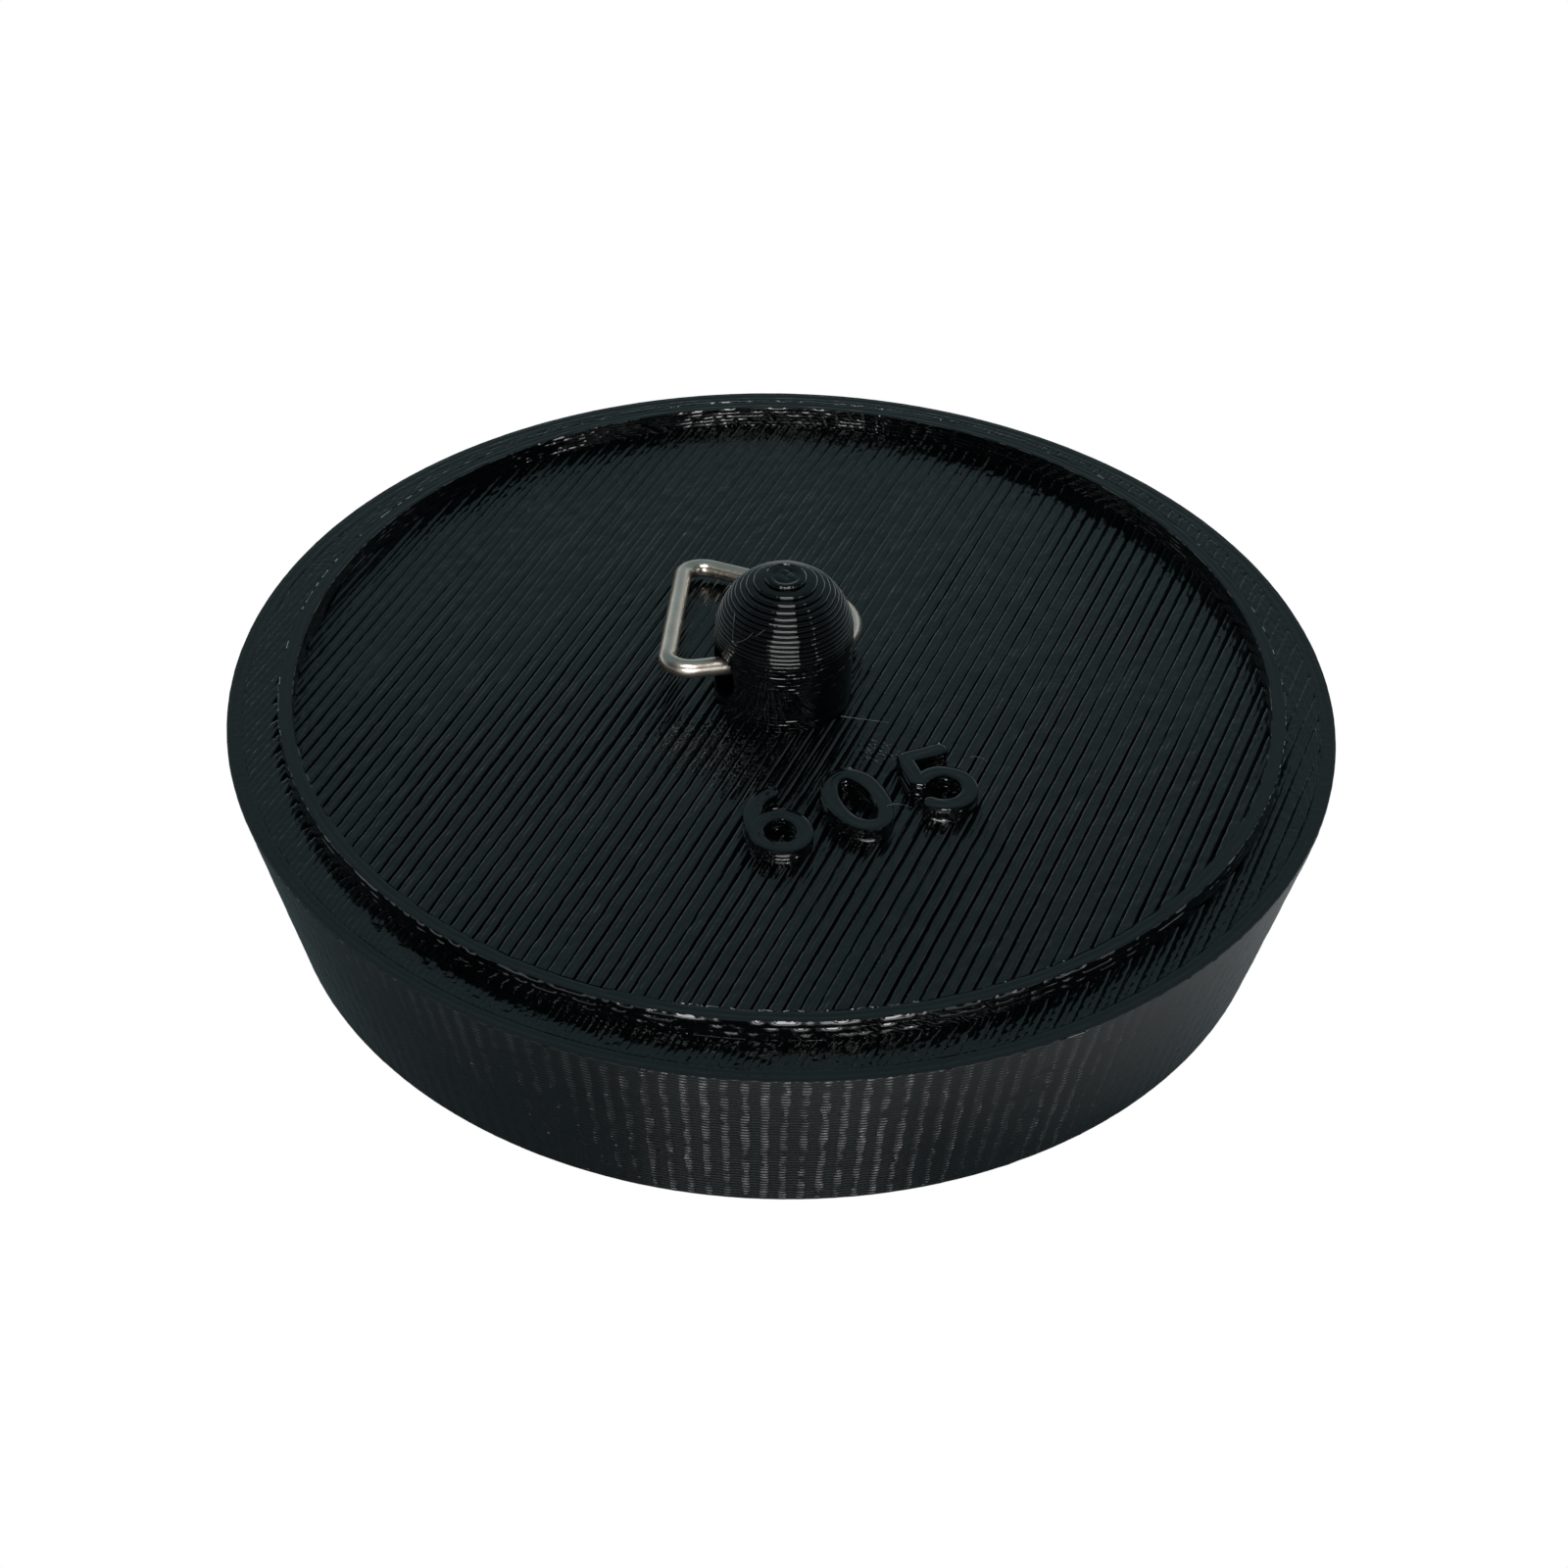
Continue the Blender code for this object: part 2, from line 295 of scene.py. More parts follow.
def nickelWire(name):
    # warm grey metal, a little uneven in tone, with fine wear in its gloss and surface
    material, nodes, links, shader = newMaterial(name)
    cloud = spread(nodes, links, objectNoise(nodes, links, plating["cloud"], 3.0), 0, 1)
    tinted(nodes, links, cloud, plating["dark"], plating["light"], shader.inputs["Base Color"])
    scratches = objectNoise(nodes, links, plating["scratches"], 3.0)
    gloss = spread(nodes, links, scratches, *plating["roughness"])
    links.new(gloss, shader.inputs["Roughness"])
    addBump(nodes, links, scratches, 0.12, plating["scratchDepth"], shader)
    shader.inputs["Metallic"].default_value = 1.0
    return material


def plainFinish(name, first, second, scale, roughness):
    # two close tones in a cloud of so many cells per metre, with one gloss all over
    material, nodes, links, shader = newMaterial(name)
    cloud = spread(nodes, links, objectNoise(nodes, links, scale, 2.0), 0, 1)
    tinted(nodes, links, cloud, first, second, shader.inputs["Base Color"])
    shader.inputs["Roughness"].default_value = roughness
    return material


rasterTurn = -np.radians(printer["rasterAngle"])
deckPlastic = printedPlastic("deck_plastic", (0.8, 1.15, 1), rasterTurn, 4.2)
droplets = [(-5.87, -2.61, 3.2), (-4.4, -4.6, 2.6), (2.6, -6.8, 1.6)]   # x, y and reach in mm
dropletPatches(deckPlastic, droplets, 4200, 0.05 * mm)
wallPlastic = printedPlastic("wall_plastic", (1, 1, 2.2), 0.0, 0.8, 0.15)
ridgePlastic = printedPlastic("ridge_plastic", (1, 1, 2.0), 0.0, 0.6)
postPlastic = printedPlastic("post_plastic", (1, 1, 2.0), 0.0, 0.6, -0.04, 1.42)
markPlastic = printedPlastic("mark_plastic", grainDepth=1.2)
basePlastic = printedPlastic("base_plastic", (0.5, 1.6, 1), -rasterTurn, 0.6, 0.05)
nickel = nickelWire("nickel_wire")
stringTones = (0.010, 0.016, 0.018, 1), (0.03, 0.036, 0.038, 1)
stringPlastic = plainFinish("string_plastic", *stringTones, 3000, 0.25)
print("materials ready")


wall = {
    "taper": np.radians(13.3),
    "bands": 3,                 # pieces that the wall is split into, one above another
    "round": 0.014 * mm,        # depth of the groove between two layers on a flat
    "cornerRound": 0.092 * mm,  # and where two flats meet
    "wander": 0.005 * mm,       # slow wandering of each layer
    "rough": 0.0030 * mm,       # fine unevenness along each layer
    "rib": 0.003 * mm,          # swelling where two flats meet
    "ribWidth": 0.135,          # of a flat
    "ribDrift": 0.10,           # of a flat, how far a rib wanders from layer to layer
    "depth": 2.2 * mm,          # thickness of the shell behind the surface
    "seamAngle": np.radians(-88.0),
    "seamHeight": 0.05 * mm,
    "overlap": 0.5 * mm,        # how far the back of a band stays inside its own height
}
flat = 2 * np.pi / printer["facets"]
layerShare = np.array([0.0, 0.12, 0.35, 0.65, 0.88])   # rows of points over a layer's height


def onFlats(angles):
    # share of the corner radius at which a flat-sided outline lies at each angle
    return np.cos(flat / 2) / np.cos((angles / flat % 1 - 0.5) * flat)


def layerWall(name, firstLayer, layers):
    # each layer is a round-edged step: radius = layer radius - groove * |2t - 1|^2.5 over the
    # layer's height t, less a further drop of its upper half where two flats meet, plus ribs
    # there, a seam scar and smooth noise; then from a circle to flats
    width = wall["ribWidth"]
    offsets = np.array([0.0, width, 2 * width, 0.5, 1 - 2 * width, 1 - width])
    atCorner = np.array([1.0, 0.55, 0.0, 0.0, 0.0, 0.55])
    allLayers, cols = printer["layers"], printer["facets"] * len(offsets)
    number = np.repeat(np.arange(firstLayer, firstLayer + layers), len(layerShare))
    t = np.append(np.tile(layerShare, layers), 0.0)
    number = np.append(number, firstLayer + layers)
    z = (number + t) * layer
    number = np.minimum(number, allLayers - 1)
    drift = smoothNoise((allLayers, printer["facets"]), (0.9, 0.01), 11) * wall["ribDrift"]
    shift = (drift[:, :, None] * atCorner).reshape(allLayers, cols)
    angles = (np.arange(printer["facets"])[:, None] + offsets).reshape(-1) * flat
    angles = angles[None, :] + shift[number] * flat
    swell = 0.95 + 0.34 * smoothNoise((allLayers, printer["facets"]), (0.9, 0.01), 12)
    swell = np.clip(swell + 0.25 * smoothNoise((1, printer["facets"]), (0.01, 0.4), 17), 0, 1.8)
    rib = (swell[:, :, None] * atCorner ** 3).reshape(allLayers, cols) * wall["rib"]
    slow = smoothNoise((allLayers, cols), (0.7, 28), 13) * wall["wander"]
    slow += smoothNoise((allLayers, 1), (0.4, 0.01), 14) * wall["wander"] * 0.6
    fine = smoothNoise((allLayers, cols), (0.3, 1.3), 15) * wall["rough"]
    toSeam = np.angle(np.exp(1j * (angles - wall["seamAngle"]))) / flat
    scar = np.exp(-(toSeam / 0.32) ** 2) - 0.8 * np.exp(-((toSeam - 0.9) / 0.35) ** 2)
    lumps = 0.6 + 0.5 * smoothNoise((allLayers, 1), (0.5, 0.01), 16)[number]
    layerRadius = deckRadius - (allLayers - 1 - number) * layer * np.tan(wall["taper"])
    # how strongly each point feels its corner
    rough = (swell[:, :, None] * atCorner).reshape(allLayers, cols)[number]
    upper = np.maximum(2 * t - 1, 0) ** 1.3
    corner = (wall["cornerRound"] - wall["round"]) * rough * upper[:, None]
    radius = (layerRadius - printer["sag"] - wall["round"] * beadEdge(t))[:, None] - corner
    radius = radius + (rib + slow + fine)[number]
    radius = radius + scar * lumps * wall["seamHeight"]
    radius = radius * onFlats(angles)
    outer = turned(radius, z[:, None], angles)
    backZ = np.array([z[-1] - wall["overlap"], z[0] + wall["overlap"]])
    back = turned(layerRadius.min() - wall["depth"], backZ[:, None], angles[-1:])
    part = gridPart(np.concatenate([outer, back]), wrapRows=True)
    return buildPiece(name, [part], wallPlastic, "stopper", 0, np.radians(72))


bandLayers = printer["layers"] // wall["bands"]
wallPieces = [layerWall(f"side_wall_{i + 1}", i * bandLayers, bandLayers)
              for i in range(wall["bands"])]
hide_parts("stopper_body")


ridge = {
    "inset": 2.78 * mm,         # from the deck's edge to the ridge's outer wall
    "width": 0.9 * mm,
    "layers": 5,
    "outerBead": 5 / 3,         # height of an outer bead, in layers
    "round": 0.045 * mm,        # drop of a bead's upper edge, per layer of its height
    "topGroove": 0.022 * mm,    # depth between the two lines on top
    "dash": 1.2,                # length of the brighter dashes, in columns
    "rough": 0.006 * mm,
    "columns": 1152,
}
deck = {
    "groove": 0.018 * mm,       # depth between two lines of a pair
    "pairGroove": 0.22 * mm,    # depth between two pairs
    "frontAngle": 23.8,         # from -Y round to where the deck's pattern is strongest
    "quiet": 0.30,              # share of the pair groove left where the pattern fades
    "rimShare": 0.10,           # and outside the ridge
    "dimple": 0.019 * mm,       # unevenness along the lines
    "dimpleLength": 0.8,        # samples
    "acrossSamples": np.array([0.0, 0.06, 0.14, 0.3, 0.5, 0.7, 0.86, 0.94]),   # of a line
    "alongSamples": 190,
    "edgeBeads": 2,             # lines that follow the deck's edge
    "edgeGroove": 0.025 * mm,   # depth between them
    "skin": 1.2 * mm,           # thickness of the shell below the surface
}


def lineBed(reach, level, firstLine, lastLine, angle, depths, seed, down=False):
    # straight lines side by side under a circular outline: u runs along each line from one end
    # of its chord to the other, v across it; height = level - groove(v) + noise(u, v)
    # ends of lines are rounded down, and a skirt and a fan below close the bed
    count = int(np.ceil(reach / printer["line"]))
    across, along = deck["acrossSamples"], deck["alongSamples"]
    lines = np.arange(firstLine, lastLine)
    number = np.repeat(lines, len(across))
    t = np.tile(across, len(lines))
    number, t = np.append(number, lastLine - 1), np.append(t, 1.0)
    v = np.clip((number + t) * printer["line"], -reach * 0.9995, reach * 0.9995)
    quarter = np.pi / 2 * 0.86   # sine spacing puts more points near the ends of a line
    share = np.sin(np.linspace(-1, 1, along) * quarter) / np.sin(quarter)
    halfChord = np.sqrt(reach ** 2 - v ** 2)
    u = share[None, :] * halfChord[:, None]
    x = u * np.cos(angle) - v[:, None] * np.sin(angle)
    y = u * np.sin(angle) + v[:, None] * np.cos(angle)
    shape = (2 * count + 2, along)
    lineNoise = smoothNoise(shape, (0.3, deck["dimpleLength"]), seed)[number + count]
    slowNoise = smoothNoise(shape, (0.8, 9), seed + 1)[number + count]
    gap = np.abs(2 * t - 1) ** 2.3
    pairEdge = np.where((number % 2 == 0) == (t < 0.5), 1.0, 0.0)
    depth = depths(x, y)
    groove = gap[:, None] * (deck["groove"] * (1 - pairEdge)[:, None] + depth * pairEdge[:, None])
    calm = 1 - 0.5 * np.clip((np.hypot(x, y) - deckRadius + ridge["inset"]) / (0.3 * mm), 0, 1)
    dimples = deck["dimple"] * calm * lineNoise * (1 - 0.5 * gap[:, None])
    z = -groove * (1 + 0.18 * slowNoise) + dimples - 0.5 * deck["dimple"]
    end = np.clip((1 - np.abs(share)) / 0.004, 0, 1)
    z = np.minimum(z - 0.05 * mm * (1 - end) ** 2, 0)
    top = np.stack([x, y, level - z if down else level + z], -1)
    rim = np.concatenate([top[0], top[1:-1, -1], top[-1, ::-1], top[-2:0:-1, 0]])
    low = rim * [1, 1, 0] + [0, 0, level + (deck["skin"] if down else -deck["skin"])]
    skirt = gridPart(np.stack([low, rim]), flip=down)
    return [gridPart(top, wrapCols=False, flip=down), skirt, capPart(low, flip=not down)]


def deckDepths(x, y):
    # deep grooves over the front of the deck and at the far right, fading to the far side and
    # outside the ridge, where the lines are pressed flatter
    turn = np.radians(deck["frontAngle"])
    side = x * np.cos(turn) - y * np.sin(turn)
    front = -x * np.sin(turn) - y * np.cos(turn)
    strength = np.clip((front - side * 0.1 + 12 * mm) / (20 * mm), 0, 1)
    patch = ((side - 19 * mm) ** 2 + (front + 9 * mm) ** 2) / (9 * mm) ** 2
    strength = np.maximum(strength, 0.85 * np.exp(-patch))
    strength = deck["quiet"] + (1 - deck["quiet"]) * strength
    rim = np.clip((np.hypot(x, y) - (deckRadius - ridge["inset"])) / (0.3 * mm), 0, 1)
    right = np.clip(side / (20 * mm), 0, 1)
    strength = strength * (1 - rim * (1 - deck["rimShare"]) * (1 - 0.4 * right))
    return deck["pairGroove"] * strength


def edgeBeads(radii, level, seed, steps=5):
    # lines that follow the outline, each round-topped from one radius to the next
    cols = printer["facets"] * 4
    angles = np.arange(cols) * (2 * np.pi / cols)
    t = np.append(np.tile(np.arange(steps) / steps, len(radii) - 1), 1.0)
    start = np.append(np.repeat(radii[:-1], steps), radii[-2])
    width = np.append(np.repeat(np.diff(radii), steps), radii[-1] - radii[-2])
    noise = smoothNoise((len(t), cols), (0.6, 2.0), seed) * 0.004 * mm
    drop = -deck["edgeGroove"] * beadEdge(t)
    radius = (start + t * width)[:, None] * onFlats(angles)
    z = np.minimum(level + drop[:, None] + noise - 0.004 * mm, level)
    return radius, z, angles


def buildDeck():
    # three beds of straight lines, then two round lines with a rounded lip at the deck's edge
    reach = deckRadius - deck["edgeBeads"] * printer["bead"] + 0.12 * mm
    count = int(np.ceil(reach / printer["line"]))
    thirds = np.linspace(-count, count, 4).astype(int)
    angle = np.radians(printer["rasterAngle"])
    for i in range(3):
        parts = lineBed(reach, deckZ, thirds[i], thirds[i + 1], angle, deckDepths, 21)
        buildPiece(f"deck_lines_{i + 1}", parts, deckPlastic, "stopper",
                   touching, 1.0)
    inner = deckRadius - deck["edgeBeads"] * printer["bead"]
    radii = np.linspace(inner, deckRadius - 0.075 * mm, deck["edgeBeads"] + 1)
    radius, z, angles = edgeBeads(radii, deckZ, 31)
    top = turned(radius, z, angles)
    dash = np.clip(0.5 + 0.8 * smoothNoise((1, len(angles)), (0.01, 1.6), 33), 0, 1.6)
    lip = [turned(radius[-1:] + out * mm * dash, z[-1:] - down * mm * dash, angles)
           for out, down in ((0.020, 0.012), (0.032, 0.032), (0.036, 0.060))]
    under = [turned(radius[-1:] - 0.02 * mm, deckZ - 0.15 * mm, angles[None, :]),
             turned(radii[0], deckZ - 0.15 * mm, angles[None, :])]
    loop = np.concatenate([top] + lip + under)
    part = gridPart(loop, wrapRows=True, flip=True)
    buildPiece("deck_edge", [part], deckPlastic, "stopper")


buildDeck()


def ridgeWall(radius, outward, tall, seed):
    # beads one above another, each "tall" layers high; a bead's upper part slopes inwards, more
    # and less by turns along the bead, so that it catches the light in dashes
    cols = ridge["columns"]
    beads = int(np.ceil(ridge["layers"] / tall))
    share = np.array([0.0, 0.12, 0.35, 0.58, 0.72, 0.86, 0.99])
    number = np.repeat(np.arange(-1, beads), len(share))
    t = np.tile(share, beads + 1)
    z = np.minimum(deckZ + (number + t) * tall * layer, deckZ + ridge["layers"] * layer)
    dash = smoothNoise((beads + 1, cols), (0.3, ridge["dash"]), seed)
    dash = np.clip(0.55 + 0.8 * dash, 0.05, 1.3)
    slow = smoothNoise((beads + 1, cols), (0.5, 14), seed + 1) * ridge["rough"]
    slope = np.maximum(t - 0.5, 0) / 0.5
    drop = ridge["round"] * tall * dash[number + 1] * (slope ** 1.25)[:, None]
    foot = 0.1 * ridge["round"] * (np.maximum(0.3 - t, 0) / 0.3)[:, None]
    offset = slow[number + 1] - drop - foot - printer["sag"]
    return turned(radius + offset * outward, z[:, None], ridge["angles"])


def buildRidge():
    # one closed ring: up the outer wall, over two lines on top, down the inner wall
    ridge["angles"] = np.arange(ridge["columns"]) * (2 * np.pi / ridge["columns"])
    outer = deckRadius - ridge["inset"]
    inner = outer - ridge["width"]
    outward = ridgeWall(outer, 1, ridge["outerBead"], 41)
    inward = ridgeWall(inner, -1, 1, 43)
    radii = np.linspace(outer - 0.08 * mm, inner + 0.08 * mm, 3)
    steps = 5
    t = np.append(np.tile(np.arange(steps) / steps, 2), 1.0)
    radius = np.append(np.repeat(radii[:-1], steps), radii[1]) + t * (radii[1] - radii[0])
    noise = smoothNoise((len(t), ridge["columns"]), (0.6, 2.5), 47) * 0.005 * mm
    height = deckZ + ridge["layers"] * layer - ridge["topGroove"] * beadEdge(t)[:, None]
    height = height + noise - 0.01 * mm
    over = turned(radius[:, None], height, ridge["angles"])
    loop = np.concatenate([outward, over, inward[::-1]])
    part = gridPart(loop, wrapRows=True)
    buildPiece("ridge", [part], ridgePlastic, "stopper", 0, 0.9)


buildRidge()


post = {
    "radius": 3.77 * mm,
    "straight": 4.0 * mm,       # deck to the start of the dome
    "holeRadius": 1.373 * mm,
    "round": 0.006 * mm,        # groove depth on the straight wall
    "notch": 0.045 * mm,        # under each step of the dome
    "edge": 0.10 * mm,          # the most that a step's edge is rounded on the dome
    "rough": 0.006 * mm,
    "columns": 288,
    "rib": 0.003 * mm,
    "holeGroove": 0.05 * mm,    # depth between two layers inside the hole
    # rings of the small spiral bead on top: share of the last layer's radius, and rise in mm
    "lid": [(0.93, 0.0), (0.80, 0.035), (0.66, 0.01), (0.56, -0.05), (0.44, -0.01),
            (0.30, 0.02), (0.14, -0.03)],
}


def buildPost():
    # a stack of round-edged discs: radius of each = the outline's radius half way up its layer,
    # minus the groove; a last small spiral bead closes the top
    total = int(round((post["straight"] + post["radius"]) / layer))
    samples = np.array([0.0, 0.15, 0.4, 0.62, 0.78, 0.88, 0.95])
    number = np.repeat(np.arange(-1, total), len(samples))
    t = np.tile(samples, total + 1)
    middle = (np.arange(-1, total + 1) + 0.5) * layer - post["straight"]
    outline = np.sqrt(np.maximum(post["radius"] ** 2 - np.maximum(middle, 0) ** 2, 0))
    step = np.clip(-np.diff(outline), 0, post["edge"])
    outline = outline[:-1]
    notch = np.clip(step / post["edge"], 0, 1) * (post["notch"] - post["round"]) + post["round"]
    depth = np.where(t > 0.5, np.maximum(step, post["round"])[number + 1], notch[number + 1])
    angles = np.arange(post["columns"]) * (2 * np.pi / post["columns"])
    shape = (total + 1, post["columns"])
    fine = smoothNoise(shape, (0.3, 2.2), 51) * post["rough"]
    fine += smoothNoise(shape, (0.5, 9.0), 52) * post["rough"]
    fine += smoothNoise((total + 1, 1), (0.3, 0.01), 53) * post["rough"] * 0.5
    rib = np.tile([1.0, 0.3, 0.0, 0.3], post["columns"] // 4) * post["rib"]
    radius = (outline[number + 1] - depth * beadEdge(t) - 0.01 * mm)[:, None]
    radius = radius + fine[number + 1] + rib
    z = deckZ + (number + t) * layer
    wallGrid = turned(np.minimum(radius, post["radius"] - 0.005 * mm), z[:, None], angles)
    lastRadius = outline[-1]
    topHeight = deckZ + total * layer
    share, rise = np.array(post["lid"]).T[:, :, None]
    swirl = smoothNoise((len(share), post["columns"]), (0.8, 14), 54)
    lidRadius = share * lastRadius * (1 + 0.03 * swirl)
    lidHeight = topHeight + (rise - 0.05 + 0.018 * swirl) * mm
    lidGrid = turned(lidRadius, np.minimum(lidHeight, topZ), angles)
    grid = np.concatenate([wallGrid, lidGrid])
    parts = [gridPart(grid), capPart(grid[0], flip=True), capPart(grid[-1])]
    piece = buildPiece("pull_post", parts, postPlastic, "stopper", touching)
    cutHole(piece)


def cutHole(piece):
    # the hole is cut by a bar of layers too: half width at each layer from the circle's equation
    # at the layer's height nearest the axis, and wider at both edges, between two beads, so the
    # beads stay outside the circle that the wire needs
    radius, centre = post["holeRadius"], hinge.z
    first = int(np.floor((centre - radius - deckZ) / layer))
    last = int(np.ceil((centre + radius - deckZ) / layer))
    half, z = [], []
    for number in range(first, last):
        low = max(deckZ + number * layer, centre - radius)
        high = min(deckZ + (number + 1) * layer, centre + radius)
        nearest = max(low - centre, centre - high, 0)
        width = np.sqrt(max(radius ** 2 - nearest ** 2, 0))
        for t in (0.02, 0.3, 0.7, 0.98):
            half.append(width + post["holeGroove"] * beadEdge(t))
            z.append(low + t * (high - low))
    half, z = np.array(half), np.array(z)
    outline = np.concatenate([np.stack([half, z], -1), np.stack([-half, z], -1)[::-1]])
    stations = np.linspace(-2, 2, 33)[:, None] * post["radius"]
    wobble = smoothNoise((len(stations), len(outline)), (1.0, 1.0), 55) * 0.02 * mm
    y = outline[None, :, 0] + np.sign(outline[None, :, 0]) * np.abs(wobble)
    x, zz = np.broadcast_arrays(stations, outline[None, :, 1])
    grid = np.stack([x, y, zz], -1)
    points, quads, fans = [], [], []
    count = 0
    for part in (gridPart(grid), capPart(grid[0], flip=True), capPart(grid[-1])):
        points.append(part[0])
        quads += [list(face + count) for face in part[1]]
        fans += [list(face + count) for face in part[2]]
        count += len(part[0])
    mesh = bpy.data.meshes.new("hole_cutter")
    mesh.from_pydata(np.concatenate(points).tolist(), [], quads + fans)
    work = bmesh.new()
    work.from_mesh(mesh)
    bmesh.ops.remove_doubles(work, verts=work.verts, dist=touching)
    bmesh.ops.recalc_face_normals(work, faces=work.faces)
    work.to_mesh(mesh)
    work.free()
    cutter = bpy.data.objects.new("hole_cutter", mesh)
    bpy.context.scene.collection.objects.link(cutter)
    boolean = piece.modifiers.new("Cross hole", "BOOLEAN")
    boolean.operation = "DIFFERENCE"
    boolean.solver = "MANIFOLD"
    boolean.object = cutter
    bpy.context.view_layer.update()
    graph = bpy.context.evaluated_depsgraph_get()
    cutMesh = bpy.data.meshes.new_from_object(piece.evaluated_get(graph))
    piece.modifiers.clear()
    piece.data = cutMesh
    bpy.data.objects.remove(cutter, do_unlink=True)
    cutMesh.shade_smooth()
    cutMesh.set_sharp_from_angle(angle=np.radians(62))
    print("cut the cross hole,", len(cutMesh.polygons), "faces")


buildPost()


mark = {
    "digits": "605",
    "distance": 11.0 * mm,      # from the post's axis to the middle of the digits
    "shift": -0.45 * mm,
    "width": 3.4 * mm,
    "height": 5.3 * mm,
    "spacing": 4.7 * mm,
    "stroke": 0.9 * mm,
    "layers": 4,
    "round": 0.045 * mm,
    "rough": 0.010 * mm,
    "sink": 0.012 * mm,         # how far the tops stay below their nominal height
}


def arcPath(centre, radii, start, end, count):
    # points along an elliptical arc, angles in degrees, both ends included
    angle = np.radians(np.linspace(start, end, count + 1))
    x, y = centre[0] + radii[0] * np.cos(angle), centre[1] + radii[1] * np.sin(angle)
    return np.stack([x, y], -1)


def digitPaths(digit):
    # centrelines of a digit's strokes about its middle, each with whether it is closed
    halfWidth = (mark["width"] - mark["stroke"]) / 2
    halfHeight = (mark["height"] - mark["stroke"]) / 2
    if digit == "0":
        return [(arcPath((0, 0), (halfWidth, halfHeight), 0, 360, 72)[:-1], True)]
    if digit == "6":
        loopHeight = halfHeight * 0.6
        loopCentre = (0, loopHeight - halfHeight)
        loop = arcPath(loopCentre, (halfWidth, loopHeight), 0, 360, 64)[:-1]
        reach = (halfWidth * 1.7, halfHeight - loopCentre[1])
        tail = arcPath((reach[0] - halfWidth, loopCentre[1]), reach, 176, 95, 26)
        return [(loop, True), (tail, False)]
    left = -halfWidth * 0.8
    bar = np.linspace([halfWidth * 0.85, halfHeight], [left, halfHeight], 14)
    stem = np.linspace([left, halfHeight], [-halfWidth * 0.9, halfHeight * 0.1], 12)
    bowlHeight = halfHeight * 0.62
    bowlCentre = (-halfWidth * 0.1, bowlHeight - halfHeight)
    bowl = arcPath(bowlCentre, (halfWidth * 1.1, bowlHeight), 138, -142, 56)
    return [(np.concatenate([bar, stem[1:], bowl[1:]]), False)]


def strokeRing(path, closed, side):
    # spine points and the directions away from them, walked once round the stroke; an open
    # stroke is walked out along its left side and back along its right one, round both ends
    ahead = np.roll(path, -1, axis=0) - np.roll(path, 1, axis=0)
    if not closed:
        ahead[0], ahead[-1] = path[1] - path[0], path[-1] - path[-2]
    ahead /= np.linalg.norm(ahead, axis=1)[:, None]
    normal = np.stack([-ahead[:, 1], ahead[:, 0]], -1)
    if closed:
        return (path, normal) if side > 0 else (path[::-1], -normal[::-1])
    turn = np.linspace(0, np.pi, 14)[1:-1]
    farEnd = normal[-1] * np.cos(turn)[:, None] + ahead[-1] * np.sin(turn)[:, None]
    nearEnd = -normal[0] * np.cos(turn)[:, None] - ahead[0] * np.sin(turn)[:, None]
    farPoints = np.repeat(path[-1:], len(turn), axis=0)
    nearPoints = np.repeat(path[:1], len(turn), axis=0)
    spine = np.concatenate([path, farPoints, path[::-1], nearPoints])
    away = np.concatenate([normal, farEnd, -normal[::-1], nearEnd])
    return spine, away


def buildMark():
    # each stroke's half section, carried round its spine: from the groove in the middle of the
    # top, over the bead, then down the wall layer by layer to below the deck
    t = np.linspace(0, 1, 7)
    topAcross = t * (mark["stroke"] / 2 - 0.02 * mm)
    topRise = -0.06 * mm * t ** 6 - 0.012 * mm * (t < 0.1)
    number = np.repeat(np.arange(mark["layers"] - 1, -2, -1), len(layerShare))
    share = np.tile(layerShare[::-1], mark["layers"] + 1)
    groove = np.concatenate([np.zeros(len(t)), beadEdge(share)]) * mark["round"]
    wallRise = (number + share) * layer
    across = np.concatenate([topAcross, np.full(len(share), mark["stroke"] / 2)])
    rise = np.concatenate([mark["layers"] * layer + topRise, wallRise])
    middle = (len(mark["digits"]) - 1) / 2
    parts = []
    for i, digit in enumerate(mark["digits"]):
        centre = np.array([mark["shift"] + (i - middle) * mark["spacing"], -mark["distance"]])
        for j, (path, closed) in enumerate(digitPaths(digit)):
            for side in (1, -1) if closed else (1,):
                spine, away = strokeRing(path + centre, closed, side)
                shape = (len(across), len(spine))
                seed = 7 * i + 3 * j + side
                noise = smoothNoise(shape, (1.2, 2.0), 61 + seed) * mark["rough"]
                noise[0] = 0
                dash = np.clip(0.4 + 0.9 * smoothNoise(shape, (1.0, 1.6), 90 + seed), 0, 1.6)
                reach = across[:, None] - groove[:, None] * dash + np.minimum(noise, 0.02 * mm)
                xy = spine[None] + away[None] * reach[..., None]
                lift = np.where(np.arange(len(across)) < len(t), 1.0, 0.15)[:, None] * noise * 0.8
                z = deckZ + rise[:, None] + lift - mark["sink"]
                grid = np.concatenate([xy, z[..., None]], -1)
                parts.append(gridPart(grid))
    buildPiece("size_mark", parts, markPlastic, "stopper", touching, 1.1)


buildMark()


underside = {
    "groove": 0.03 * mm,        # the same names as for the deck
    "dimple": 0.004 * mm,
    "dimpleLength": 3,
    "alongSamples": 110,
    "acrossSamples": np.array([0.0, 0.1, 0.3, 0.7, 0.9]),
}


